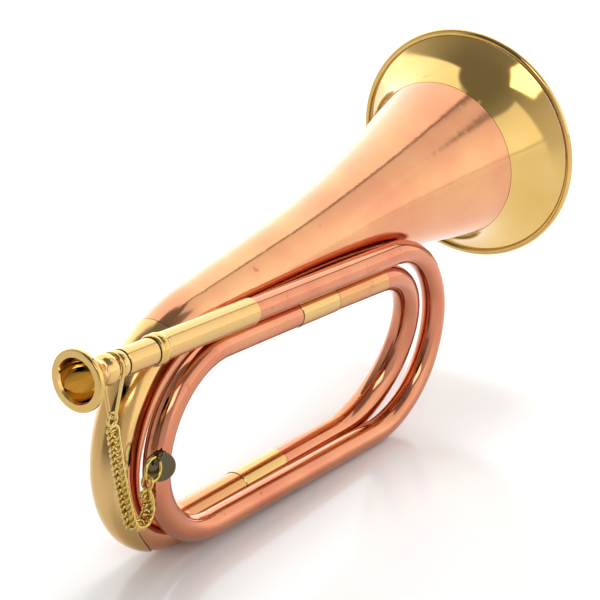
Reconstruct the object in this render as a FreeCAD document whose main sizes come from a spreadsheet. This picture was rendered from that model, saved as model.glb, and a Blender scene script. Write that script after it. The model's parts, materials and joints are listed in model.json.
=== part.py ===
import FreeCAD, Part
import math
import os
import Sketcher
from FreeCAD import Placement, Rotation, Vector

# A twice-wound bugle, in millimetres.
#
# The air goes from the mouthpiece along the leadpipe, round the front far bend, back along the
# front bottom run, up the near bend, along the upper run, round the rear far bend, back along the
# rear bottom run, up the big bow and out through the bell.
#
# The coil frame has its origin on the leadpipe's axis at the mouthpiece rim: X runs towards the
# bell, Y away from the player's right, and Z up in the coil's plane. In the part's frame the
# bugle stands on its bow and on its rear far bend, so the coil leans a little and dips a little.

SIZES = [
    # how the coil frame sits in the part's frame
    ("lean", 5.7, "lean of the coil about the leadpipe, degrees"),
    ("dip", 3.41, "fall of the leadpipe towards the bell, degrees"),
    ("mouth_x", -177.93, "mouthpiece rim"),
    ("mouth_y", -30.93, "leadpipe axis"),
    ("mouth_height", 114.92, "leadpipe axis above the table, at the rim"),
    # radii of the tube along the air path, outside
    ("lead_radius", 5.35, "leadpipe, at the receiver"),
    ("front_far_radius", 5.9, "start of the front far bend"),
    ("front_run_radius", 6.1, "start of the front bottom run"),
    ("near_radius", 6.1, "start of the near bend"),
    ("upper_radius", 6.0, "upper run"),
    ("rear_far_radius", 6.5, "start of the rear far bend"),
    ("rear_run_radius", 7.3, "start of the rear bottom run"),
    ("bow_radius", 8.5, "start of the bow"),
    ("throat_radius", 13.9, "bell throat, where the bow ends"),
    ("wall", 0.6, "tube wall"),
    # the coil's runs, in the coil frame
    ("front_far_x", 230.1, "centre of the front far bend"),
    ("near_x", 100.8, "centre of the near bend"),
    ("front_run_y", -2.6, "front bottom run"),
    ("front_drop_far", 95.5, "front bottom run below the leadpipe, far end"),
    ("front_drop_near", 98.2, "the same, near end"),
    ("upper_y", 1.9, "upper run"),
    ("upper_drop", 12.35, "upper run below the leadpipe"),
    ("rear_far_top_x", 223.5, "rear far bend, upper end"),
    ("rear_far_x", 216.0, "rear far bend, lower end"),
    ("rear_run_y", 12.1, "rear bottom run"),
    ("rear_drop_far", 96.2, "rear bottom run below the leadpipe, far end"),
    ("rear_drop_near", 102.2, "the same, where the bow starts"),
    ("bow_start_x", 96.3, "where the bow starts"),
    ("bow_start_reach", 66.0, "how far the bow keeps its first direction"),
    ("bow_end_reach", 68.0, "how early it takes the bell's direction"),
    ("throat_x", 109.3, "bell throat"),
    ("throat_y", 25.3, "bell throat"),
    ("throat_drop", 6.9, "bell throat below the leadpipe"),
    ("bell_rise", 7.58, "rise of the bell's axis, degrees"),
    ("bell_yaw", 1.98, "turn of the bell's axis away from the leadpipe, degrees"),
    # bell: the copper flare, then the brass garland and its rolled rim
    ("flare_length", 213.7, "throat to garland"),
    ("seam_radius", 42.5, "flare where the garland starts"),
    ("garland_length", 28.0, "seam to the rim's centre"),
    ("rim_radius", 61.2, "centre of the rolled rim"),
    ("roll_radius", 1.9, "rolled rim"),
    ("bell_wall", 0.7, "wall of the flare and garland"),
    ("garland_step", 0.2, "how far the garland stands proud at the seam"),
    ("seam_gap", 0.1, "joint line"),
    # mouthpiece
    ("rim_outer", 13.25, "rim"),
    ("rim_inner", 9.2, "cup at the rim"),
    ("rim_height", 2.0, "rim"),
    ("cup_depth", 15.5, "cup"),
    ("throat_bore", 2.1, "mouthpiece throat"),
    ("neck_radius", 5.7, "end of the bowl"),
    ("neck_length", 14.4, "rim to the end of the bowl"),
    ("barrel_radius", 6.55, "first bead"),
    ("barrel_start", 15.1, "first bead"),
    ("barrel_end", 20.4, "first bead"),
    ("groove_radius", 4.7, "groove for the neck loop"),
    ("groove_start", 21.0, "groove"),
    ("groove_end", 23.6, "groove"),
    ("shoulder_radius", 6.1, "second bead"),
    ("shoulder_end", 27.0, "second bead"),
    ("shank_start_radius", 4.95, "shank under the second bead"),
    ("shank_end_radius", 4.6, "shank tip"),
    ("shank_end", 49.0, "shank tip"),
    ("shank_bore", 3.2, "bore at the shank's tip"),
    ("fit", 0.04, "clearance of the shank in the receiver"),
    # receiver
    ("receiver_start", 27.4, "open end"),
    ("receiver_end", 50.0, "end inside the collar"),
    ("receiver_radius", 6.05, "outside"),
    ("collar_start", 46.2, "double ring over the joint"),
    ("collar_end", 53.6, "double ring"),
    ("collar_radius", 7.0, "double ring"),
    ("sleeve_radius", 6.25, "brass sleeve"),
    ("sleeve_end", 115.0, "brass sleeve"),
    ("lead_start", 58.0, "leadpipe end inside the sleeve"),
    ("slip", 0.02, "clearance of soldered sleeves"),
    # ferrules
    ("ferrule_step", 0.3, "how far a ferrule stands proud"),
    ("upper_ferrule_start", 153.3, "upper ferrule"),
    ("upper_ferrule_end", 182.6, "upper ferrule"),
    ("lower_ferrule_start", 137.6, "lower ferrule, near end"),
    ("lower_ferrule_end", 170.5, "lower ferrule, far end"),
    # brass guard on the outside of the bow
    ("guard_thickness", 0.5, "guard"),
    ("guard_gap", 0.05, "guard clear of the bow"),
    ("guard_half_angle", 66.0, "half of the arc that the guard covers, degrees"),
    ("guard_tip", 0.12, "tip of the guard's rounded lower end, share of the bow"),
    ("guard_shoulder", 0.33, "where the guard reaches its full width, share of the bow"),
    ("guard_top", 0.865, "guard's upper end, share of the bow"),
    # eyelet on the near bend
    ("eyelet_turn", 49.0, "eyelet disc round the tube, from the bend's outside, degrees"),
    ("eyelet_rise", 3.0, "eyelet disc along the bend from its middle, degrees"),
    ("eyelet_radius", 7.0, "eyelet disc"),
    ("eyelet_thickness", 0.8, "eyelet disc"),
    ("foot_radius", 3.6, "solder foot under the disc"),
    ("foot_height", 0.4, "solder foot at its thinnest"),
    ("staple_radius", 3.4, "staple"),
    ("staple_wire", 0.65, "staple wire"),
    ("staple_up", 4.4, "staple above the disc's centre"),
    ("ring_radius", 5.2, "eyelet ring"),
    ("ring_wire", 0.75, "eyelet ring wire"),
    # neck loop, end links and chain
    ("loop_wire", 0.75, "neck loop wire"),
    ("loop_radius", 5.9, "neck loop round the groove"),
    ("loop_end_radius", 1.9, "neck loop's narrow lower end"),
    ("loop_drop", 20.0, "from the middle of its wide end to that of its narrow end"),
    ("loop_clearance", 0.25, "neck loop clear of the groove"),
    ("link_radius", 2.8, "end link"),
    ("link_wire", 0.7, "end link wire"),
    ("link_play", 0.35, "end link clear of what it hangs on"),
    ("chain_radius", 2.7, "chain, over its links"),
    ("chain_gap", 0.9, "chain clear of its end links"),
]

doc = FreeCAD.newDocument("Bugle")
sheet = doc.addObject("Spreadsheet::Sheet", "Sizes")
for row, (alias, value, note) in enumerate(SIZES, start=1):
    sheet.set(f"A{row}", note)
    sheet.set(f"B{row}", str(value))
    sheet.setAlias(f"B{row}", alias)
doc.recompute()

SUB_PARTS = []


class Size:
    """A size taken from the sheet, or worked out from such sizes: its value and its expression."""

    def __init__(self, value, text):
        self.value = float(value)
        self.text = text

    def combine(self, other, sign, result):
        text = other.text if isinstance(other, Size) else repr(float(other))
        return Size(result, f"({self.text} {sign} {text})")

    def __add__(self, other):
        return self.combine(other, "+", self.value + number(other))

    def __sub__(self, other):
        return self.combine(other, "-", self.value - number(other))

    def __mul__(self, other):
        return self.combine(other, "*", self.value * number(other))

    def __truediv__(self, other):
        return self.combine(other, "/", self.value / number(other))


def number(item):
    return item.value if isinstance(item, Size) else float(item)


def size(alias):
    return Size(sheet.get(alias), f"Sizes.{alias}")


def mm(alias):
    return float(sheet.get(alias))


# ---------------------------------------------------------------- frames

COIL = Placement(
    Vector(mm("mouth_x"), mm("mouth_y"), mm("mouth_height")),
    Rotation(Vector(0, 1, 0), mm("dip")).multiply(Rotation(Vector(1, 0, 0), mm("lean"))),
)
PLUMB = COIL.Rotation.inverted().multVec(Vector(0, 0, -1))


def along(start, direction, across=Vector(0, 1, 0)):
    """Placement in the part's frame whose Z runs along direction from start, in the coil frame."""
    return COIL.multiply(Placement(start, Rotation(across, Vector(), direction, "ZXY")))


def origin_plane(body, role):
    return [item for item in body.Origin.OriginFeatures if item.Role == role][0]


def keep(feature, label, place=None):
    """Name a finished sub-part and put it in its place."""
    feature.Label = label
    if place is not None:
        feature.Placement = place
    SUB_PARTS.append(feature)
    return feature


# ---------------------------------------------------------------- building blocks


def pin(sketch, geometry, corner, radius, height):
    """Tie one corner of an outline to its two sizes."""
    for kind, item in (("DistanceX", radius), ("DistanceY", height)):
        if kind == "DistanceY" and number(item) == 0:
            sketch.addConstraint(Sketcher.Constraint("PointOnObject", geometry, corner, -1))
            continue
        index = sketch.addConstraint(
            Sketcher.Constraint(kind, geometry, corner, number(item))
        )
        if isinstance(item, Size):
            sketch.setExpression(f"Constraints[{index}]", item.text)


def lathe(label, outline, place):
    """Body turned about its own Z. outline is a closed list of (radius, height) corners; a corner
    followed by a list of inner points goes to the next corner along a smooth curve."""
    body = doc.addObject("PartDesign::Body", label)
    sketch = body.newObject("Sketcher::SketchObject", label + "_outline")
    sketch.AttachmentSupport = [(origin_plane(body, "XZ_Plane"), "")]
    sketch.MapMode = "FlatFace"
    corners = [item for item in outline if isinstance(item, tuple)]
    curves = {}
    seen = 0
    for item in outline:
        if isinstance(item, tuple):
            seen += 1
        else:
            curves[seen - 1] = item
    flat = [Vector(number(r), number(h), 0) for r, h in corners]
    edges = []
    for index, point in enumerate(flat):
        following = flat[(index + 1) % len(flat)]
        if index in curves:
            curve = Part.BSplineCurve()
            inner = [Vector(number(r), number(h), 0) for r, h in curves[index]]
            curve.interpolate([point] + inner + [following])
        else:
            curve = Part.LineSegment(point, following)
        edges.append(sketch.addGeometry(curve, False))
    for index, (radius, height) in enumerate(corners):
        sketch.addConstraint(
            Sketcher.Constraint("Coincident", edges[index - 1], 2, edges[index], 1)
        )
        pin(sketch, edges[index], 1, radius, height)
    turned = body.newObject("PartDesign::Revolution", label + "_turned")
    turned.Profile = sketch
    turned.ReferenceAxis = (sketch, ["V_Axis"])
    turned.Angle = 360.0
    body.Tip = turned
    return keep(body, label, place)


def cone_tube(label, start, end, start_radius, end_radius, wall, bore_radii=None):
    """Straight tube between two points of the coil frame, tapering from one radius to the other."""
    length = start.distanceToPoint(end)
    first, last = bore_radii or (start_radius - wall, end_radius - wall)
    outline = [(first, 0), (start_radius, 0), (end_radius, length), (last, length)]
    return lathe(label, outline, along(start, end - start))


def circle(name, radius, place):
    ring = doc.addObject("Part::Circle", name)
    ring.setExpression("Radius", radius.text)
    ring.Placement = place
    return ring


def loft(name, rings):
    solid = doc.addObject("Part::Loft", name)
    solid.Sections = rings
    solid.Solid = True
    solid.Ruled = False
    return solid


def bent_tube(label, stations, start_radius, end_radius, wall, growth=1.0):
    """Bent tube through stations, each a (point, direction, across) in the coil frame. Its radius
    grows with the share of its length to the power growth."""
    shells = []
    for name, inset in (("outer", None), ("bore", wall)):
        rings = []
        for index, (point, direction, across) in enumerate(stations):
            share = index / (len(stations) - 1)
            radius = start_radius + (end_radius - start_radius) * share**growth
            if inset is not None:
                radius = radius - inset
            place = along(point, direction, across)
            rings.append(circle(f"{label}_{name}_{index}", radius, place))
        shells.append(loft(f"{label}_{name}", rings))
    tube = doc.addObject("Part::Cut", label)
    tube.Base, tube.Tool = shells
    return keep(tube, label)


def half_turn(start, heading, end, end_heading, count=13):
    """Stations of a nearly round half turn that leaves start along heading and arrives at end
    along end_heading: two quarter turns that meet at the nose."""
    arm = (end - start) * 0.5
    outward = heading * arm.Length
    nose = start + arm + outward
    across = arm.cross(outward).normalize()
    reach = QUARTER * arm.Length
    quarters = (
        (start, heading, nose, arm.normalize()),
        (nose, arm.normalize(), end, end_heading),
    )
    stations = []
    half = (count - 1) // 2
    for turn, (first, leaving, last, arriving) in enumerate(quarters):
        curve = Part.BezierCurve()
        curve.setPoles([first, first + leaving * reach, last - arriving * reach, last])
        for index in range(turn, half + 1):
            stations.append(station(curve, index / half, across))
    return stations


# handle of a cubic curve that follows a quarter circle, as a share of the radius
QUARTER = 0.5523


def station(curve, share, across):
    """Point and direction of a curve, with across squared up against the direction."""
    direction = curve.tangent(share)[0]
    sideways = (across - direction * across.dot(direction)).normalize()
    return curve.value(share), direction, sideways


def sweep(label, spine_shape, radius, start, direction):
    """Round wire swept along a path given in the coil frame."""
    spine = doc.addObject("Part::Feature", label + "_path")
    spine.Shape = spine_shape
    spine.Placement = COIL
    section = circle(label + "_section", radius, along(start, direction))
    wire = doc.addObject("Part::Sweep", label)
    wire.Sections = [section]
    wire.Spine = (spine, [f"Edge{n + 1}" for n in range(len(spine_shape.Edges))])
    wire.Solid = True
    wire.Frenet = False
    return keep(wire, label)


# ---------------------------------------------------------------- mouthpiece and receiver

X_AXIS = Vector(1, 0, 0)
ORIGIN = Vector(0, 0, 0)


def build_mouthpiece():
    rim = size("rim_outer")
    cup = size("cup_depth")
    bore = size("throat_bore")
    barrel = size("barrel_radius")
    outline = [
        (size("rim_inner") + 0.6, 0),
        (rim - 0.9, 0),
        [(rim - 0.26, 0.26)],
        (rim, 0.9),
        (rim, size("rim_height")),
        [(rim - 2.3, 4.2), (rim - 5.6, 9.0)],
        (size("neck_radius"), size("neck_length")),
        (barrel - 0.5, size("barrel_start")),
        [(barrel, size("barrel_start") + 1.2), (barrel, size("barrel_end") - 1.2)],
        (barrel - 0.6, size("barrel_end")),
        (size("groove_radius"), size("groove_start")),
        (size("groove_radius"), size("groove_end")),
        (size("shoulder_radius") - 0.4, size("groove_end") + 0.3),
        [(size("shoulder_radius"), (size("groove_end") + size("shoulder_end")) / 2)],
        (size("shoulder_radius") - 0.3, size("shoulder_end")),
        (size("shank_start_radius"), size("shoulder_end")),
        (size("shank_end_radius"), size("shank_end")),
        (size("shank_bore"), size("shank_end")),
        (bore, cup + 3.0),
        (bore, cup),
        [(bore + 2.6, cup - 2.6), (size("rim_inner") - 1.4, cup * 0.5)],
        (size("rim_inner"), 1.2),
    ]
    lathe("mouthpiece", outline, along(ORIGIN, X_AXIS))


def build_receiver():
    gap = size("fit")
    start = size("receiver_start")
    end = size("receiver_end")
    outer = size("receiver_radius")
    length = end - start
    outline = [
        (size("shank_start_radius") + gap, 0),
        (outer - 0.25, 0),
        (outer, 0.25),
        (outer, length),
        (size("shank_end_radius") + gap, length),
    ]
    lathe("receiver", outline, along(X_AXIS * mm("receiver_start"), X_AXIS))


def build_collar():
    start = size("collar_start")
    length = size("collar_end") - start
    step = size("receiver_end") - start
    outer = size("collar_radius")
    small = size("receiver_radius") + size("slip")
    large = size("sleeve_radius") + size("slip")
    outline = [
        (small, 0),
        (outer - 0.5, 0),
        [(outer, length * 0.16)],
        (outer - 0.45, length * 0.34),
        [(outer + 0.05, length * 0.55)],
        (outer - 0.35, length * 0.8),
        (outer - 0.45, length),
        (large, length),
        (large, step),
        (small, step),
    ]
    lathe("receiver_collar", outline, along(X_AXIS * mm("collar_start"), X_AXIS))


def build_sleeve():
    outer = size("sleeve_radius")
    length = size("sleeve_end") - size("receiver_end")
    inner = size("lead_radius") + size("slip")
    share = (mm("sleeve_end") - mm("lead_start")) / (mm("front_far_x") - mm("lead_start"))
    outline = [
        (inner, 0),
        (outer, 0),
        (outer, length - 0.3),
        (outer - 0.3, length),
        (inner + (size("front_far_radius") - size("lead_radius")) * share, length),
        (inner, size("lead_start") - size("receiver_end")),
    ]
    lathe("receiver_sleeve", outline, along(X_AXIS * mm("receiver_end"), X_AXIS))


# ---------------------------------------------------------------- coil

WALL = size("wall")
LEAD_END = Vector(mm("front_far_x"), 0, 0)
FRONT_FAR = Vector(mm("front_far_x"), mm("front_run_y"), -mm("front_drop_far"))
FRONT_NEAR = Vector(mm("near_x"), mm("front_run_y"), -mm("front_drop_near"))
UPPER_NEAR = Vector(mm("near_x"), mm("upper_y"), -mm("upper_drop"))
UPPER_FAR = Vector(mm("rear_far_top_x"), mm("upper_y"), -mm("upper_drop"))
REAR_FAR = Vector(mm("rear_far_x"), mm("rear_run_y"), -mm("rear_drop_far"))
REAR_NEAR = Vector(mm("bow_start_x"), mm("rear_run_y"), -mm("rear_drop_near"))
FRONT_BACK = (FRONT_NEAR - FRONT_FAR).normalize()
UPPER_OUT = (UPPER_FAR - UPPER_NEAR).normalize()
REAR_BACK = (REAR_NEAR - REAR_FAR).normalize()
THROAT = Vector(mm("throat_x"), mm("throat_y"), -mm("throat_drop"))


def bell_direction():
    rise = math.radians(mm("bell_rise"))
    yaw = math.radians(mm("bell_yaw"))
    return Vector(math.cos(rise) * math.cos(yaw), math.cos(rise) * math.sin(yaw), math.sin(rise))


BELL = bell_direction()


def on_run(start, end, x):
    """Point of a straight run at a given x."""
    share = (x - start.x) / (end.x - start.x)
    return start + (end - start) * share


def build_front_coil():
    wall = WALL
    lead_start = X_AXIS * mm("lead_start")
    cone_tube("leadpipe", lead_start, LEAD_END, size("lead_radius"), size("front_far_radius"), wall)
    bent_tube(
        "front_far_bend",
        half_turn(LEAD_END, X_AXIS, FRONT_FAR, FRONT_BACK),
        size("front_far_radius"),
        size("front_run_radius"),
        wall,
    )
    cone_tube(
        "front_bottom_run",
        FRONT_FAR,
        FRONT_NEAR,
        size("front_run_radius"),
        size("near_radius"),
        wall,
    )
    bent_tube(
        "near_bend",
        half_turn(FRONT_NEAR, FRONT_BACK, UPPER_NEAR, UPPER_OUT),
        size("near_radius"),
        size("upper_radius"),
        wall,
    )


def build_upper_run():
    radius = size("upper_radius")
    start = on_run(UPPER_NEAR, UPPER_FAR, mm("upper_ferrule_start"))
    end = on_run(UPPER_NEAR, UPPER_FAR, mm("upper_ferrule_end"))
    cone_tube("upper_run", UPPER_NEAR, start, radius, radius, WALL)
    ferrule("upper_ferrule", start, end, radius, radius)
    cone_tube("upper_tail", end, UPPER_FAR, radius, size("rear_far_radius"), WALL)


def ferrule(label, start, end, start_radius, end_radius):
    """Brass sleeve with softly broken edges that stands a little proud of its neighbours."""
    length = start.distanceToPoint(end)
    step = size("ferrule_step")
    outline = [
        (start_radius - WALL, 0),
        (start_radius, 0),
        (start_radius + step, 0.3),
        (end_radius + step, length - 0.3),
        (end_radius, length),
        (end_radius - WALL, length),
    ]
    lathe(label, outline, along(start, end - start))


def build_rear_coil():
    bent_tube(
        "rear_far_bend",
        half_turn(UPPER_FAR, UPPER_OUT, REAR_FAR, REAR_BACK),
        size("rear_far_radius"),
        size("rear_run_radius"),
        WALL,
    )
    far = on_run(REAR_FAR, REAR_NEAR, mm("lower_ferrule_end"))
    near = on_run(REAR_FAR, REAR_NEAR, mm("lower_ferrule_start"))
    grow = size("bow_radius") - size("rear_run_radius")
    run = mm("rear_far_x") - mm("bow_start_x")
    far_radius = size("rear_run_radius") + grow * ((mm("rear_far_x") - far.x) / run)
    near_radius = size("rear_run_radius") + grow * ((mm("rear_far_x") - near.x) / run)
    cone_tube("rear_bottom_run", REAR_FAR, far, size("rear_run_radius"), far_radius, WALL)
    ferrule("lower_ferrule", far, near, far_radius, near_radius)
    cone_tube("bow_tail", near, REAR_NEAR, near_radius, size("bow_radius"), WALL)


# ---------------------------------------------------------------- bow and its guard


def bow_stations(shares):
    """Stations of the bow, a cubic curve from the rear run's direction to the bell's."""
    curve = Part.BezierCurve()
    curve.setPoles(
        [
            REAR_NEAR,
            REAR_NEAR + REAR_BACK * mm("bow_start_reach"),
            THROAT - BELL * mm("bow_end_reach"),
            THROAT,
        ]
    )
    across = (THROAT - REAR_NEAR).cross(X_AXIS).normalize()
    return [station(curve, share, across) for share in shares]


# the bow opens a little faster towards the throat
BOW_GROWTH = 1.25


def build_bow():
    stations = bow_stations([index / 14 for index in range(15)])
    bent_tube("bow", stations, size("bow_radius"), size("throat_radius"), WALL, BOW_GROWTH)


def guard_section(point, direction, across, inner, outer, half_angle):
    """Thin C of the guard in the plane of one station, centred on the outside of the bow."""
    outside = direction.cross(across).normalize()

    def at(radius, angle):
        return point + (outside * math.cos(angle) + across * math.sin(angle)) * radius

    corners = (at(outer, -half_angle), at(outer, half_angle))
    inner_corners = (at(inner, half_angle), at(inner, -half_angle))
    edges = [
        Part.Arc(corners[0], at(outer, 0), corners[1]).toShape(),
        Part.LineSegment(corners[1], inner_corners[0]).toShape(),
        Part.Arc(inner_corners[0], at(inner, 0), inner_corners[1]).toShape(),
        Part.LineSegment(inner_corners[1], corners[0]).toShape(),
    ]
    return Part.Wire(edges)


def guard_stretch():
    """Shares of the bow at which the guard has a section, and the half angle it covers there."""
    tip = mm("guard_tip")
    shoulder = mm("guard_shoulder")
    full = math.radians(mm("guard_half_angle"))
    stretch = []
    for degrees in range(80, 0, -10):
        turn = math.radians(degrees)
        stretch.append((shoulder - (shoulder - tip) * math.sin(turn), full * math.cos(turn)))
    steps = 14
    for index in range(steps + 1):
        stretch.append((shoulder + (mm("guard_top") - shoulder) * index / steps, full))
    return stretch


def build_guard():
    """Brass shell over the outside of the bow: a rounded tongue below, square above."""
    stretch = guard_stretch()
    stations = bow_stations([share for share, _ in stretch])
    sections = []
    for (share, half_angle), (point, direction, across) in zip(stretch, stations):
        grow = (mm("throat_radius") - mm("bow_radius")) * share**BOW_GROWTH
        inner = mm("bow_radius") + grow + mm("guard_gap")
        outer = inner + mm("guard_thickness")
        sections.append(guard_section(point, direction, across, inner, outer, half_angle))
    guard = doc.addObject("Part::Feature", "bow_guard")
    guard.Shape = Part.makeLoft(sections, True, False)
    keep(guard, "bow_guard", COIL)


# ---------------------------------------------------------------- bell

# (share of the flare's length, share of its growth from throat to seam)
FLARE = ((0.14, 0.063), (0.28, 0.127), (0.42, 0.204), (0.56, 0.327), (0.70, 0.496), (0.84, 0.708))


def flare_curve(inset):
    length = size("flare_length")
    throat = size("throat_radius")
    grow = size("seam_radius") - throat
    points = [(throat - inset + grow * share, length * at) for at, share in FLARE]
    return points


def build_flare():
    length = size("flare_length")
    wall = size("bell_wall")
    throat = size("throat_radius")
    seam = size("seam_radius")
    outline = [
        (throat - WALL, 0),
        (throat, 0),
        flare_curve(0.0),
        (seam, length),
        (seam - wall, length),
        list(reversed(flare_curve(wall))),
    ]
    lathe("bell_flare", outline, along(THROAT, BELL))


def build_garland():
    length = size("garland_length")
    seam = size("seam_radius") + size("garland_step")
    wall = size("bell_wall")
    rim = size("rim_radius")
    grow = rim - seam
    start = THROAT + BELL * (mm("flare_length") + mm("seam_gap"))
    middle = [(0.28, 0.16), (0.56, 0.4), (0.8, 0.7)]
    outer = [(seam + grow * share, length * at) for at, share in middle]
    inner = [(seam - wall * 1.25 + grow * share, length * at) for at, share in middle]
    edge = size("roll_radius")
    outline = [
        (seam - wall, 0),
        (seam, 0),
        outer,
        (rim - edge * 0.73, length - edge * 0.76),
        (rim - edge * 0.95, length - edge * 0.46),
        list(reversed(inner)),
    ]
    lathe("bell_garland", outline, along(start, BELL))
    roll = doc.addObject("Part::Torus", "rim_roll")
    roll.setExpression("Radius1", size("rim_radius").text)
    roll.setExpression("Radius2", size("roll_radius").text)
    keep(roll, "rim_roll", along(start + BELL * mm("garland_length"), BELL))


# ---------------------------------------------------------------- eyelet


def wire_ring(label, centre, axis, radius, wire, start=Vector(0, 0, 1), turn=360.0):
    """Round wire ring, or a part of one that begins at start."""
    ring = doc.addObject("Part::Torus", label)
    ring.setExpression("Radius1", size(radius).text)
    ring.setExpression("Radius2", size(wire).text)
    ring.Angle3 = turn
    place = COIL.multiply(Placement(centre, Rotation(start, Vector(), axis, "ZXY")))
    return keep(ring, label, place)


def eyelet_frame():
    """Disc's centre on the near bend's surface, its outward normal, its own up, and the bend as
    a torus."""
    middle = (FRONT_NEAR + UPPER_NEAR) * 0.5
    arm = (UPPER_NEAR - FRONT_NEAR) * 0.5
    rise = math.radians(mm("eyelet_rise"))
    turn = math.radians(mm("eyelet_turn"))
    upward = Vector(arm).normalize()
    away = FRONT_BACK * math.cos(rise) + upward * math.sin(rise)
    tangent = (upward - away * upward.dot(away)).normalize()
    side = away.cross(tangent).normalize()
    if side.y > 0:
        side = side * -1
    normal = away * math.cos(turn) + side * math.sin(turn)
    tube = (mm("near_radius") + mm("upper_radius")) / 2
    bend = doc.addObject("Part::Torus", "eyelet_seat")
    bend.Radius1 = arm.Length
    bend.setExpression("Radius2", (size("near_radius") + size("slip")).text)
    bend.Placement = along(middle, away.cross(tangent), away)
    return middle + away * arm.Length + normal * tube, normal, tangent, bend


def build_eyelet():
    """Disc on its solder foot, the staple on the disc, and the ring that hangs in the staple.
    Gives the ring's lowest point, which way it hangs and its direction there."""
    seat, normal, tangent, bend = eyelet_frame()
    back = seat + normal * mm("foot_height")
    thick = size("eyelet_thickness")
    outer = size("eyelet_radius")
    outline = [
        (0, 0),
        (outer - 0.3, 0),
        (outer, 0.3),
        (outer - 0.3, thick),
        (0, thick),
    ]
    lathe("eyelet_disc", outline, along(back, normal, tangent))

    post = doc.addObject("Part::Cylinder", "eyelet_post")
    post.setExpression("Radius", size("foot_radius").text)
    sunk = mm("near_radius")
    post.setExpression("Height", (size("near_radius") + size("foot_height") - size("slip")).text)
    post.Placement = along(seat - normal * sunk, normal, tangent)
    foot = doc.addObject("Part::Cut", "eyelet_foot")
    foot.Base, foot.Tool = post, bend
    keep(foot, "eyelet_foot")

    aside = normal.cross(tangent).normalize()
    if aside.x > 0:
        aside = aside * -1
    front = back + normal * (mm("eyelet_thickness") + mm("slip"))
    root = front + tangent * mm("staple_up") + aside * RING_ASIDE
    hang = (aside * RING_LEAN[0] - tangent * RING_LEAN[1]).normalize()
    cross = normal.cross(hang).normalize()
    wire_ring("eyelet_staple", root, cross * -1, "staple_radius", "staple_wire", hang, 180.0)

    out = math.radians(RING_OUT)
    swing = hang * math.cos(out) + normal * math.sin(out)
    crown = mm("staple_radius") - mm("staple_wire") - mm("link_play")
    top = root + normal * (crown - mm("ring_wire"))
    twist = math.radians(RING_TWIST)
    flat = swing.cross(cross).normalize()
    axis = flat * math.cos(twist) + cross * math.sin(twist)
    wire_ring("eyelet_ring", top + swing * mm("ring_radius"), axis, "ring_radius", "ring_wire")
    return top + swing * mm("ring_radius") * 2, swing, swing.cross(axis).normalize()


# how the ring hangs: staple beside the disc's middle, sideways and down, out from the disc, turned
RING_ASIDE = 1.2
RING_LEAN = (5.4, 7.9)
RING_OUT = 32.0
RING_TWIST = 30.0

# ---------------------------------------------------------------- neck loop and chain


def build_neck_loop():
    """Wire loop that is round in the mouthpiece's groove and hangs straight down to a narrow end.
    Gives its lowest point, which way it hangs and its direction there."""
    side = X_AXIS.cross(PLUMB).normalize()
    down = side.cross(X_AXIS).normalize()
    if down.z > 0:
        down = down * -1
    wide = mm("loop_radius")
    narrow = mm("loop_end_radius")
    seat = (mm("groove_start") + mm("groove_end")) / 2
    above = mm("groove_radius") + mm("loop_wire") + mm("loop_clearance")
    top = Vector(seat, 0, 0) - down * above
    upper = top + down * wide
    lower = upper + down * mm("loop_drop")
    slant = math.asin((wide - narrow) / mm("loop_drop"))
    left = down * math.sin(slant) - side * math.cos(slant)
    right = down * math.sin(slant) + side * math.cos(slant)
    end = lower + down * narrow
    edges = [
        Part.Arc(upper + left * wide, top, upper + right * wide).toShape(),
        Part.LineSegment(upper + right * wide, lower + right * narrow).toShape(),
        Part.Arc(lower + right * narrow, end, lower + left * narrow).toShape(),
        Part.LineSegment(lower + left * narrow, upper + left * wide).toShape(),
    ]
    upward = (side * math.sin(slant) + down * math.cos(slant)) * -1
    sweep("neck_loop", Part.Wire(edges), size("loop_wire"), upper + left * wide, upward)
    return end, down, side


def end_link(label, ring_end, held_wire, following):
    """Round link on the end of a hanging ring or loop, turned halfway towards the chain's next
    point. Gives where the chain may begin."""
    held, hang, tangent = ring_end
    towards = (hang + (following - held).normalize()).normalize()
    across = (tangent - towards * tangent.dot(towards)).normalize()
    hook = mm(held_wire) + mm("link_wire") + mm("link_play")
    centre = held + towards * (mm("link_radius") - hook)
    wire_ring(label, centre, across, "link_radius", "link_wire")
    return centre + towards * (mm("link_radius") + mm("link_wire") + mm("chain_gap"))


def rounded_path(points):
    """Straight runs joined by tangent arcs, each as large as its two runs allow."""
    edges = []
    radii = []
    last = points[0]
    for before, corner, after in zip(points, points[1:], points[2:]):
        first = (corner - before).normalize()
        second = (after - corner).normalize()
        turn = math.acos(max(-1.0, min(1.0, first.dot(second))))
        reach = 0.45 * min(before.distanceToPoint(corner), corner.distanceToPoint(after))
        radii.append(reach / math.tan(turn / 2))
        enter = corner - first * reach
        leave = corner + second * reach
        bisector = (second - first).normalize()
        crown = corner + bisector * (radii[-1] / math.cos(turn / 2) - radii[-1])
        edges.append(Part.LineSegment(last, enter).toShape())
        edges.append(Part.Arc(enter, crown, leave).toShape())
        last = leave
    edges.append(Part.LineSegment(last, points[-1]).toShape())
    return Part.Wire(edges), radii


# chain route between its two end links, in the coil frame
CHAIN_ROUTE = [
    Vector(26.6, -2.1, -38.0),
    Vector(29.6, -2.6, -49.5),
    Vector(33.1, -3.2, -61.0),
    Vector(36.3, -3.8, -70.0),
    Vector(39.2, -4.3, -77.4),
    Vector(44.2, -4.9, -78.9),
    Vector(48.0, -5.5, -75.6),
    Vector(47.4, -6.1, -67.9),
]


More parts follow.
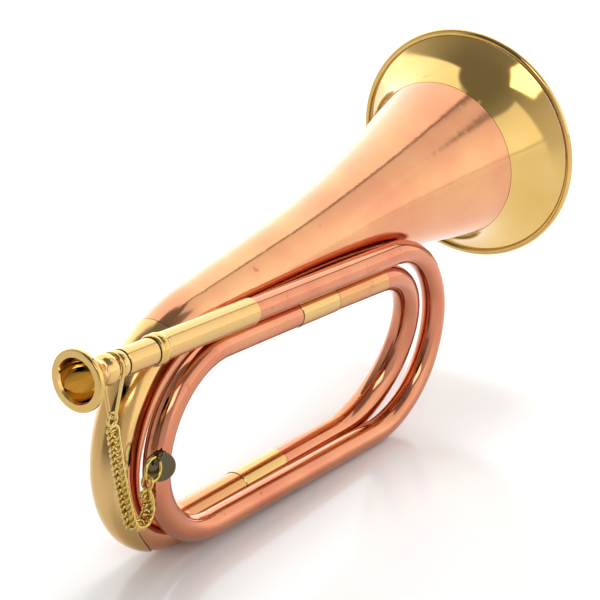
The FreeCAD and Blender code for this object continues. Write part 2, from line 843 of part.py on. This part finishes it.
def build_chain(loop_end, ring_end):
    start = end_link("chain_top_link", loop_end, "loop_wire", CHAIN_ROUTE[0])
    end = end_link("chain_end_link", ring_end, "ring_wire", CHAIN_ROUTE[-1])
    points = [start] + CHAIN_ROUTE + [end]
    path, radii = rounded_path(points)
    print("chain arcs", [round(r, 1) for r in radii], "length", round(path.Length, 1))
    print("chain route", [[round(v, 2) for v in COIL.multVec(p)] for p in points])
    sweep("chain", path, size("chain_radius"), start, points[1] - start)


# ---------------------------------------------------------------- assembly

build_mouthpiece()
build_receiver()
build_collar()
build_sleeve()
build_front_coil()
build_upper_run()
build_rear_coil()
build_bow()
build_guard()
build_flare()
build_garland()
RING_END = build_eyelet()
LOOP_END = build_neck_loop()
build_chain(LOOP_END, RING_END)

doc.recompute()
for item in doc.Objects:
    if "Invalid" in item.State or "Error" in item.State:
        raise RuntimeError(f"{item.Label} did not recompute: {item.State}")
os.makedirs("parts", exist_ok=True)
for part in SUB_PARTS:
    shape = part.Shape
    if shape.isNull() or not shape.isValid() or not shape.Solids:
        raise RuntimeError(f"{part.Label} is not a valid solid")
    shape.exportStep(f"parts/{part.Label}.step")
    print(part.Label, len(shape.Solids), round(shape.Volume, 1))
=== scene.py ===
import json
import math
import random

import bmesh
import bpy
from mathutils import Matrix, Vector


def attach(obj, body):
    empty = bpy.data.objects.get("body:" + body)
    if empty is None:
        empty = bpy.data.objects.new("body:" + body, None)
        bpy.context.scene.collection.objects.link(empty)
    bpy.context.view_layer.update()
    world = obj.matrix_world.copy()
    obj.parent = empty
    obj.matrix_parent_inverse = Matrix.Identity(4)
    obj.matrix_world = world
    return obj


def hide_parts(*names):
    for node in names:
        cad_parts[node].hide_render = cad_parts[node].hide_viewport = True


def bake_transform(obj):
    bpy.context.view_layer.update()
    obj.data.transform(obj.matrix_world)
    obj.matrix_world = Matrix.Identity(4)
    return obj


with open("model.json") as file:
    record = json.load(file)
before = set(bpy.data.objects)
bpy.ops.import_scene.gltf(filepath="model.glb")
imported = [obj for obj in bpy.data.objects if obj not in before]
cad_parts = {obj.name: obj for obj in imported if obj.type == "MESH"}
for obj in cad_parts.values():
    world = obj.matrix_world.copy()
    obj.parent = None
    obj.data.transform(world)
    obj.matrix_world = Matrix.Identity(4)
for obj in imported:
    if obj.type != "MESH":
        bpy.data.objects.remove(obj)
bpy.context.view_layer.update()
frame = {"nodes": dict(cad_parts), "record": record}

# Lengths are in metres, except where a section says millimetres.

# ---------------------------------------------------------------- camera

TARGET = Vector((-0.05302, -0.05074, 0.11466))
# the line of sight: AZIMUTH turns it from +Y towards +X, and it falls by ELEVATION
AZIMUTH = math.radians(54.682)
ELEVATION = math.radians(20.970)
DISTANCE = 0.876
LENS = 120.45
SENSOR = 36.0
NEAREST = 0.05


def add_camera():
    data = bpy.data.cameras.new("camera")
    data.sensor_width = SENSOR
    data.lens = LENS
    data.clip_start = NEAREST
    camera = bpy.data.objects.new("camera", data)
    bpy.context.scene.collection.objects.link(camera)
    flat = math.cos(ELEVATION)
    ahead = Vector(
        (math.sin(AZIMUTH) * flat, math.cos(AZIMUTH) * flat, -math.sin(ELEVATION))
    )
    camera.location = TARGET - ahead * DISTANCE
    camera.rotation_euler = ahead.to_track_quat("-Z", "Y").to_euler()
    bpy.context.scene.camera = camera


# ---------------------------------------------------------------- node trees


class Nodes:
    """A material's node tree, with short ways to add and join its nodes."""

    def __init__(self, name):
        self.material = bpy.data.materials.new(name)
        self.material.use_nodes = True
        self.tree = self.material.node_tree
        self.shader = self.tree.nodes["Principled BSDF"]
        self.place = self.tree.nodes.new("ShaderNodeTexCoord").outputs["Object"]

    def join(self, source, target):
        self.tree.links.new(source, target)

    def noise(self, scale, detail=3.0, stretch=(1, 1, 1), distortion=0.0):
        """Noise in the object's own coordinates, scale in patches per metre."""
        mapping = self.tree.nodes.new("ShaderNodeMapping")
        mapping.inputs["Scale"].default_value = stretch
        self.join(self.place, mapping.inputs["Vector"])
        texture = self.tree.nodes.new("ShaderNodeTexNoise")
        texture.inputs["Scale"].default_value = scale
        texture.inputs["Detail"].default_value = detail
        texture.inputs["Distortion"].default_value = distortion
        self.join(mapping.outputs["Vector"], texture.inputs["Vector"])
        return texture.outputs["Fac"]

    def ramp(self, source, *stops):
        """Grey ramp through stops of (position, level)."""
        node = self.tree.nodes.new("ShaderNodeValToRGB")
        elements = node.color_ramp.elements
        for element, (position, level) in zip(elements, stops):
            element.position = position
            element.color = (level, level, level, 1.0)
        self.join(source, node.inputs["Fac"])
        return node.outputs["Color"]

    def mix(self, share, first, second):
        """Blend of two colours, each a tuple or another node's output."""
        node = self.tree.nodes.new("ShaderNodeMix")
        node.data_type = "RGBA"
        self.join(share, node.inputs["Factor"])
        for value, socket in ((first, node.inputs["A"]), (second, node.inputs["B"])):
            if isinstance(value, tuple):
                socket.default_value = (*value, 1.0)
            else:
                self.join(value, socket)
        return node.outputs["Result"]

    def spread(self, source, low, high):
        """A 0 to 1 source as a number from low to high."""
        node = self.tree.nodes.new("ShaderNodeMapRange")
        node.inputs["To Min"].default_value = low
        node.inputs["To Max"].default_value = high
        self.join(source, node.inputs["Value"])
        return node.outputs["Result"]

    def bump(self, source, strength, distance, under=None):
        """Normal of a relief, laid over another normal if there is one under it."""
        node = self.tree.nodes.new("ShaderNodeBump")
        node.inputs["Strength"].default_value = strength
        node.inputs["Distance"].default_value = distance
        self.join(source, node.inputs["Height"])
        if under is not None:
            self.join(under, node.inputs["Normal"])
        return node.outputs["Normal"]


# the noise of every metal: patches per metre, and depths in metres
TINT_SCALE = 28
STAIN_SCALE = 95
STAIN_EDGE = 0.14
POLISH_SCALE = 60
WAVE_SCALE = 55
WAVE_DEPTH = 0.00003
SCRATCH_SCALE = 900
SCRATCH_STRETCH = (0.12, 1, 1)
SCRATCH_STRENGTH = 0.25
SCRATCH_DEPTH = 0.000012


def metal(name, clean, warm, stain, rough, stains_from=0.7):
    """Polished metal of two close tints with darker stains, uneven polish and fine scratches."""
    nodes = Nodes(name)
    tint = nodes.mix(nodes.ramp(nodes.noise(TINT_SCALE), (0.35, 0.0), (0.7, 1.0)), clean, warm)
    patches = nodes.noise(STAIN_SCALE, detail=6, distortion=0.6)
    spots = nodes.ramp(patches, (stains_from, 0.0), (stains_from + STAIN_EDGE, 1.0))
    nodes.join(nodes.mix(spots, tint, stain), nodes.shader.inputs["Base Color"])
    nodes.shader.inputs["Metallic"].default_value = 1.0
    polish = nodes.spread(nodes.noise(POLISH_SCALE, detail=5), rough * 0.6, rough * 1.5)
    nodes.join(polish, nodes.shader.inputs["Roughness"])
    waves = nodes.bump(nodes.noise(WAVE_SCALE, detail=2), 1.0, WAVE_DEPTH)
    scratches = nodes.noise(SCRATCH_SCALE, detail=2, stretch=SCRATCH_STRETCH)
    lines = nodes.bump(scratches, SCRATCH_STRENGTH, SCRATCH_DEPTH, under=waves)
    nodes.join(lines, nodes.shader.inputs["Normal"])
    return nodes.material


def make_materials():
    return {
        "copper": metal(
            "polished copper",
            clean=(0.56, 0.20, 0.115),
            warm=(0.62, 0.27, 0.145),
            stain=(0.28, 0.07, 0.03),
            rough=0.085,
            stains_from=0.66,
        ),
        "bell_copper": metal(
            "lacquered copper",
            clean=(0.66, 0.285, 0.155),
            warm=(0.72, 0.37, 0.18),
            stain=(0.36, 0.12, 0.05),
            rough=0.12,
        ),
        "brass": metal(
            "polished brass",
            clean=(0.64, 0.42, 0.13),
            warm=(0.70, 0.48, 0.18),
            stain=(0.30, 0.18, 0.05),
            rough=0.075,
        ),
        "old_copper": metal(
            "yellowed copper",
            clean=(0.58, 0.32, 0.12),
            warm=(0.60, 0.26, 0.13),
            stain=(0.28, 0.11, 0.04),
            rough=0.12,
            stains_from=0.6,
        ),
        "old_brass": metal(
            "yellowed brass",
            clean=(0.60, 0.39, 0.15),
            warm=(0.66, 0.42, 0.16),
            stain=(0.32, 0.17, 0.06),
            rough=0.13,
            stains_from=0.62,
        ),
        "brass_dull": metal(
            "worn brass",
            clean=(0.62, 0.41, 0.17),
            warm=(0.68, 0.42, 0.15),
            stain=(0.36, 0.20, 0.07),
            rough=0.15,
            stains_from=0.66,
        ),
        "dark_brass": metal(
            "tarnished brass",
            clean=(0.10, 0.085, 0.05),
            warm=(0.17, 0.13, 0.07),
            stain=(0.03, 0.03, 0.025),
            rough=0.16,
        ),
        "chain_brass": metal(
            "chain brass",
            clean=(0.58, 0.41, 0.10),
            warm=(0.66, 0.49, 0.16),
            stain=(0.30, 0.19, 0.05),
            rough=0.14,
        ),
        # near black: the dark lines of the joints round the tubes, and painted shade in the step
        # along the guard's edge
        "dirt_and_shade": metal(
            "dark joints and painted step shade",
            clean=(0.03, 0.02, 0.012),
            warm=(0.06, 0.035, 0.02),
            stain=(0.02, 0.015, 0.01),
            rough=0.5,
        ),
    }


# nodes whose finish differs a little from the rest of their slot
OWN_FINISH = {
    "bell_flare": "bell_copper",
    "bow": "bell_copper",
    "bow_tail": "old_copper",
    "upper_tail": "old_copper",
    "upper_ferrule": "old_brass",
    "lower_ferrule": "old_brass",
}


def paint_frame(materials):
    """Gives every CAD node the material of its slot, or its own."""
    for part in frame["record"]["subparts"]:
        name = part["node"]
        for slot in frame["nodes"][name].material_slots:
            slot.material = materials[OWN_FINISH.get(name, part["material_slot"])]


# ---------------------------------------------------------------- chain

# the chain's route from the neck loop's link to the eyelet's link
CHAIN_ROUTE = [
    (-0.15660, -0.03065, 0.08615),
    (-0.15364, -0.02925, 0.07538),
    (-0.15133, -0.02860, 0.06373),
    (-0.14852, -0.02806, 0.05204),
    (-0.14586, -0.02776, 0.04285),
    (-0.14341, -0.02752, 0.03528),
    (-0.13851, -0.02797, 0.03343),
    (-0.13452, -0.02889, 0.03643),
    (-0.13467, -0.03026, 0.04405),
    (-0.13939, -0.03210, 0.05088),
]
# the side that the flat of the chain faces
CHAIN_FACES = Vector((0.55, -0.83, 0.0))
LINK_WIRE = 0.00082
LINK_PITCH = 0.0032
LINK_HALF_LENGTH = LINK_PITCH * 0.95
LINK_HALF_WIDTH = 0.0022
LINK_TWIST = 0.0013
LINK_STEPS = 36
# how far a link may turn away from its neighbours, in degrees
LINK_SWAY = 12


def chain_line():
    """Points along the NURBS curve of the chain's route."""
    data = bpy.data.curves.new("chain_route", "CURVE")
    data.dimensions = "3D"
    data.resolution_u = 24
    spline = data.splines.new("NURBS")
    spline.points.add(len(CHAIN_ROUTE) - 1)
    for point, place in zip(spline.points, CHAIN_ROUTE):
        point.co = (*place, 1.0)
    spline.order_u = 3
    spline.use_endpoint_u = True
    route = bpy.data.objects.new("chain_route", data)
    mesh = bpy.data.meshes.new_from_object(route)
    points = [vertex.co.copy() for vertex in mesh.vertices]
    bpy.data.meshes.remove(mesh)
    bpy.data.objects.remove(route)
    return points


def length_of(points):
    return sum((b - a).length for a, b in zip(points, points[1:]))


def at_length(points, distance):
    """Place and direction at a distance along a line of points."""
    for a, b in zip(points, points[1:]):
        step = (b - a).length
        if distance <= step or b is points[-1]:
            return a + (b - a) * (distance / step), (b - a).normalized()
        distance -= step


def add_ring(mesh, centre_line, wire, sides):
    """Closed round wire along a closed line of points; wire is its radius."""
    count = len(centre_line)
    rings = []
    middle = sum(centre_line, Vector()) / count
    for index, point in enumerate(centre_line):
        direction = (centre_line[(index + 1) % count] - centre_line[index - 1]).normalized()
        outward = point - middle
        outward = (outward - direction * outward.dot(direction)).normalized()
        across = direction.cross(outward)
        rings.append(
            [
                mesh.verts.new(
                    point + (outward * math.cos(turn) + across * math.sin(turn)) * wire
                )
                for turn in (2 * math.pi * side / sides for side in range(sides))
            ]
        )
    for index, ring in enumerate(rings):
        following = rings[(index + 1) % count]
        for side in range(sides):
            after = (side + 1) % sides
            mesh.faces.new((ring[side], ring[after], following[after], following[side]))


def add_link(mesh, centre, direction, facing, sway):
    """One twisted curb link: a wire oval whose two ends turn opposite ways."""
    width = (facing - direction * facing.dot(direction)).normalized()
    width = Matrix.Rotation(sway, 3, direction) @ width
    depth = direction.cross(width)
    line = []
    for step in range(LINK_STEPS):
        turn = 2 * math.pi * step / LINK_STEPS
        line.append(
            centre
            + direction * LINK_HALF_LENGTH * math.cos(turn)
            + width * LINK_HALF_WIDTH * math.sin(turn)
            + depth * LINK_TWIST * math.sin(2 * turn)
        )
    add_ring(mesh, line, LINK_WIRE, 10)


def finish_mesh(name, mesh, material):
    bmesh.ops.recalc_face_normals(mesh, faces=mesh.faces)
    data = bpy.data.meshes.new(name)
    mesh.to_mesh(data)
    mesh.free()
    data.materials.append(material)
    data.polygons.foreach_set("use_smooth", [True] * len(data.polygons))
    piece = bpy.data.objects.new(name, data)
    bpy.context.scene.collection.objects.link(piece)
    return piece


def build_chain(materials):
    random.seed(7)
    points = chain_line()
    total = length_of(points)
    count = round(total / LINK_PITCH)
    mesh = bmesh.new()
    for index in range(count):
        place, direction = at_length(points, total * (index + 0.5) / count)
        sway = math.radians(random.uniform(-LINK_SWAY, LINK_SWAY))
        add_link(mesh, place, direction, CHAIN_FACES, sway)
    chain = finish_mesh("chain_links", mesh, materials["chain_brass"])
    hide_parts("chain")
    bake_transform(chain)


# ---------------------------------------------------------------- dark joint lines, and painted shade at the guard's edge

# This section is in millimetres, in the frame that the CAD's coil is drawn in: X along the
# leadpipe from the mouthpiece's rim, Z up in the coil's plane. MOUTH is the rim, in metres.
LEAN = math.radians(5.7)
DIP = math.radians(3.41)
MOUTH = Vector((-0.17793, -0.03093, 0.11492))
COIL = Matrix.Translation(MOUTH) @ Matrix.Rotation(DIP, 4, "Y") @ Matrix.Rotation(LEAN, 4, "X")

LINE_WIRE = 0.2
LINE_STEPS = 72
LINE_SIDES = 6

# centre, direction of the tube, radius
JOINTS = (
    # receiver's mouth, both sides of its collar, far end of the sleeve
    ((27.2, 0.0, 0.0), (1, 0, 0), 5.9),
    ((46.1, 0.0, 0.0), (1, 0, 0), 6.1),
    ((53.7, 0.0, 0.0), (1, 0, 0), 6.3),
    ((115.05, 0.0, 0.0), (1, 0, 0), 5.75),
    # both ends of the upper ferrule
    ((153.2, 1.9, -12.35), (1, 0, 0), 6.0),
    ((182.7, 1.9, -12.35), (1, 0, 0), 6.0),
    # both ends of the lower ferrule
    ((137.6, 12.1, -100.13), (1, 0, 0.05), 8.0),
    ((170.5, 12.1, -98.48), (1, 0, 0.05), 7.7),
)


def in_scene(point):
    """Place in metres of a point in the coil's frame."""
    return COIL @ (point / 1000)


def add_joint_line(mesh, centre, direction, radius):
    """Thin dark ring round a tube."""
    direction = Vector(direction).normalized()
    side = direction.cross(Vector((0, 1, 0))).normalized()
    other = direction.cross(side)
    line = []
    for step in range(LINE_STEPS):
        turn = 2 * math.pi * step / LINE_STEPS
        point = Vector(centre) + (side * math.cos(turn) + other * math.sin(turn)) * radius
        line.append(in_scene(point))
    add_ring(mesh, line, LINE_WIRE / 1000, LINE_SIDES)


# the bow's centre line is a cubic curve; REACH is how far each end keeps its direction
BOW_START = Vector((96.3, 12.1, -102.2))
BOW_START_DIRECTION = Vector((-0.99879, 0.0, -0.04928))
BOW_START_REACH = 66.0
BOW_END = Vector((109.3, 25.3, -6.9))
BOW_END_DIRECTION = Vector((0.99067, 0.03425, 0.13191))
BOW_END_REACH = 68.0
BOW_FIRST = BOW_START + BOW_START_DIRECTION * BOW_START_REACH
BOW_SECOND = BOW_END - BOW_END_DIRECTION * BOW_END_REACH
BOW_ACROSS = (BOW_END - BOW_START).cross(Vector((1, 0, 0))).normalized()
BOW_RADIUS = 8.5
BOW_WIDENS = 5.4
BOW_GROWTH = 1.25

# the guard's edge: half of the arc that it covers, and shares of the bow's length
GUARD_HALF = math.radians(66.6)
GUARD_TIP = 0.12
GUARD_SHOULDER = 0.33
GUARD_TOP = 0.866
GUARD_WIRE = 0.28
GUARD_LIFT = 0.2
# degrees round one half of its tip, and steps along its side and across half of its top
TIP_TURNS = range(82, 0, -4)
SIDE_STEPS = 30
TOP_STEPS = 12


def bow_place(share, angle, lift):
    """Point at a share of the bow, at an angle round from its outside, lifted off the tube."""
    rest = 1 - share
    point = (
        BOW_START * rest**3
        + BOW_FIRST * (3 * rest**2 * share)
        + BOW_SECOND * (3 * rest * share**2)
        + BOW_END * share**3
    )
    direction = (
        (BOW_FIRST - BOW_START) * rest**2
        + (BOW_SECOND - BOW_FIRST) * (2 * rest * share)
        + (BOW_END - BOW_SECOND) * share**2
    ).normalized()
    across = (BOW_ACROSS - direction * BOW_ACROSS.dot(direction)).normalized()
    outside = direction.cross(across)
    radius = BOW_RADIUS + BOW_WIDENS * share**BOW_GROWTH + lift
    return point + (outside * math.cos(angle) + across * math.sin(angle)) * radius


def guard_edge():
    """Closed line of points round the guard's edge."""
    turns = [math.radians(turn) for turn in TIP_TURNS]
    round_depth = GUARD_SHOULDER - GUARD_TIP
    side_length = GUARD_TOP - GUARD_SHOULDER
    edge = [
        (GUARD_SHOULDER - round_depth * math.sin(turn), GUARD_HALF * math.cos(turn))
        for turn in turns
    ]
    for step in range(SIDE_STEPS + 1):
        edge.append((GUARD_SHOULDER + side_length * step / SIDE_STEPS, GUARD_HALF))
    other_side = [(share, -angle) for share, angle in reversed(edge)]
    for step in range(1, 2 * TOP_STEPS):
        edge.append((GUARD_TOP, GUARD_HALF * (1 - step / TOP_STEPS)))
    return [in_scene(bow_place(share, angle, GUARD_LIFT)) for share, angle in edge + other_side]


def build_joint_lines(materials):
    mesh = bmesh.new()
    for centre, direction, radius in JOINTS:
        add_joint_line(mesh, centre, direction, radius)
    # the dark ring round the guard's edge is painted shade, standing in for the shadowed step where
    # the guard meets the bow
    add_ring(mesh, guard_edge(), GUARD_WIRE / 1000, LINE_SIDES)
    lines = finish_mesh("joint_lines", mesh, materials["dirt_and_shade"])
    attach(lines, "root")


# ---------------------------------------------------------------- studio

FLOOR_HALF = 6.0


def add_floor():
    mesh = bmesh.new()
    bmesh.ops.create_grid(mesh, x_segments=1, y_segments=1, size=FLOOR_HALF)
    nodes = Nodes("floor")
    pale = nodes.mix(nodes.noise(3.0), (0.86, 0.86, 0.87), (0.88, 0.88, 0.89))
    nodes.join(pale, nodes.shader.inputs["Base Color"])
    nodes.shader.inputs["Roughness"].default_value = 0.12
    nodes.shader.inputs["Specular IOR Level"].default_value = 0.35
    floor = finish_mesh("floor", mesh, nodes.material)


def add_area(name, place, aim, size, power):
    """Square soft light that the metal doesn't mirror."""
    data = bpy.data.lights.new(name, "AREA")
    data.shape = "SQUARE"
    data.size = size
    data.energy = power
    light = bpy.data.objects.new(name, data)
    light.location = place
    light.rotation_euler = (Vector(aim) - Vector(place)).to_track_quat("-Z", "Y").to_euler()
    light.visible_glossy = False
    bpy.context.scene.collection.objects.link(light)


class Sky:
    """The studio round the object, as light by direction: a soft grey room with light panels."""

    # height at which the room's brightness reaches that of its zenith
    TOP = math.radians(70)

    def __init__(self, zenith, horizon):
        self.world = bpy.data.worlds.new("studio")
        bpy.context.scene.world = self.world
        self.world.use_nodes = True
        self.tree = self.world.node_tree
        direction = self.tree.nodes.new("ShaderNodeTexCoord").outputs["Generated"]
        split = self.tree.nodes.new("ShaderNodeSeparateXYZ")
        self.tree.links.new(direction, split.inputs[0])
        self.azimuth = self.calculate("ARCTAN2", split.outputs["Y"], split.outputs["X"])
        self.height = self.calculate("ARCSINE", split.outputs["Z"])
        self.light = self.fade(self.height, 0.0, self.TOP, horizon, zenith)

    def calculate(self, operation, first, second=0.0):
        """A sum on one or two sources, each a number or another node's output."""
        node = self.tree.nodes.new("ShaderNodeMath")
        node.operation = operation
        for value, socket in zip((first, second), node.inputs):
            if isinstance(value, float):
                socket.default_value = value
            else:
                self.tree.links.new(value, socket)
        return node.outputs[0]

    def fade(self, source, start, end, low, high):
        """A smooth step from low at start to high at end."""
        node = self.tree.nodes.new("ShaderNodeMapRange")
        node.interpolation_type = "SMOOTHSTEP"
        for name, value in (
            ("From Min", start),
            ("From Max", end),
            ("To Min", low),
            ("To Max", high),
        ):
            node.inputs[name].default_value = value
        self.tree.links.new(source, node.inputs["Value"])
        return node.outputs["Result"]

    def panel(self, azimuth, height, half_width, half_height, soft, strength):
        """Adds a soft-edged panel; angles in degrees, azimuth from +X towards +Y."""
        share = None
        for source, centre, half in (
            (self.azimuth, azimuth, half_width),
            (self.height, height, half_height),
        ):
            off = self.calculate("ABSOLUTE", self.calculate("SUBTRACT", source, math.radians(centre)))
            edge = math.radians(half)
            inside = self.fade(off, edge - math.radians(soft), edge, 1.0, 0.0)
            share = inside if share is None else self.calculate("MULTIPLY", share, inside)
        self.light = self.calculate("ADD", self.light, self.calculate("MULTIPLY", share, strength))

    def finish(self):
        background = self.tree.nodes["Background"]
        background.inputs["Color"].default_value = (1.0, 0.985, 0.965, 1.0)
        self.tree.links.new(self.light, background.inputs["Strength"])


# the studio's panels: azimuth, height, half width and half height in degrees, soft edge, strength
PANELS = (
    # a wide one at the back right, two at the right front, one over the camera
    (42.0, 34.0, 50.0, 40.0, 5.0, 1.35),
    (-31.5, 30.0, 20.5, 36.0, 2.5, 0.85),
    (-80.0, 22.0, 32.0, 24.0, 5.0, 0.75),
    (-140.0, 42.0, 15.0, 13.0, 3.0, 3.2),
    # darker stretches: between the first two panels, and at the mouthpiece's end
    (-10.5, 16.0, 3.0, 21.0, 2.5, -0.4),
    (170.0, 20.0, 20.0, 30.0, 4.0, -0.5),
    (-170.0, 20.0, 20.0, 30.0, 4.0, -0.5),
)


def add_world():
    sky = Sky(zenith=0.25, horizon=0.8)
    for panel in PANELS:
        sky.panel(*panel)
    sky.finish()


def add_studio():
    add_floor()
    add_world()
    add_area("top_softbox", place=(0.45, 0.1, 1.0), aim=(-0.03, -0.03, 0.1), size=0.5, power=6)
    bpy.context.scene.view_settings.view_transform = "Standard"


# ---------------------------------------------------------------- making

add_camera()
MATERIALS = make_materials()
build_chain(MATERIALS)
paint_frame(MATERIALS)
build_joint_lines(MATERIALS)
add_studio()
